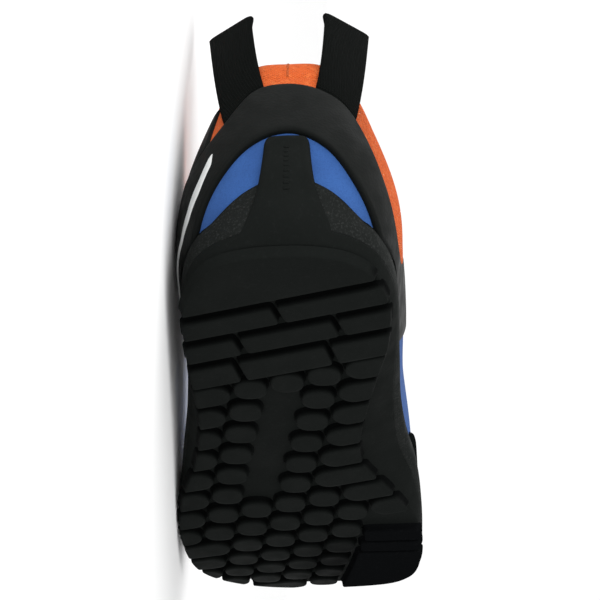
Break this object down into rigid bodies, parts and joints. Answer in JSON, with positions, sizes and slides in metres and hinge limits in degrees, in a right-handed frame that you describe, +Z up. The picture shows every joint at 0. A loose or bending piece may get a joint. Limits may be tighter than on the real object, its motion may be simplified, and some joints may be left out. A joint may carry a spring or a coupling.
{
  "type": "approach shoe",
  "caption": "Left low-cut approach shoe with lugged black rubber sole, heel rib, blue textile upper, black sling band, orange padded collar and webbing pull loops, lying on its lateral side.",
  "frame": {"origin": "middle of the shoe's footprint as it lies on its lateral side, on the floor", "axes": "+Z up from the lateral to the medial side, +Y towards the toe, +X towards the tread"},
  "size_m": [0.1312, 0.2876, 0.1102],
  "materials": {
    "rubber": "matt black tread rubber with a fine grain",
    "rubber_cup": "matt black moulded cup",
    "rand_rubber": "smooth matt black rubber",
    "blue_textile": "mid blue woven textile",
    "black_synthetic": "black synthetic with fine grain",
    "lining": "orange padded knit lining",
    "webbing": "black woven webbing",
    "lace_cord": "black braided lace",
    "eyelet_metal": "satin black eyelets"
  },
  "bodies": {
    "root": {"outsole": "rubber", "midsole": "rubber_cup", "insole": "lining", "upper": "blue_textile", "toe_rand": "rand_rubber", "heel_band": "black_synthetic", "side_panel_lateral": "black_synthetic", "ankle_panel": "lining", "collar": "lining", "tongue": "lining", "pull_loop_lateral": "webbing", "pull_loop_medial": "webbing", "eyestay_lateral": "black_synthetic", "eyestay_medial": "black_synthetic", "lace": "lace_cord", "eyelet_lateral_1": "eyelet_metal", "eyelet_medial_1": "eyelet_metal", "eyelet_lateral_2": "eyelet_metal", "eyelet_medial_2": "eyelet_metal", "eyelet_lateral_3": "eyelet_metal", "eyelet_medial_3": "eyelet_metal", "eyelet_lateral_4": "eyelet_metal", "eyelet_medial_4": "eyelet_metal", "eyelet_lateral_5": "eyelet_metal", "eyelet_medial_5": "eyelet_metal"}
  },
  "joints": []
}
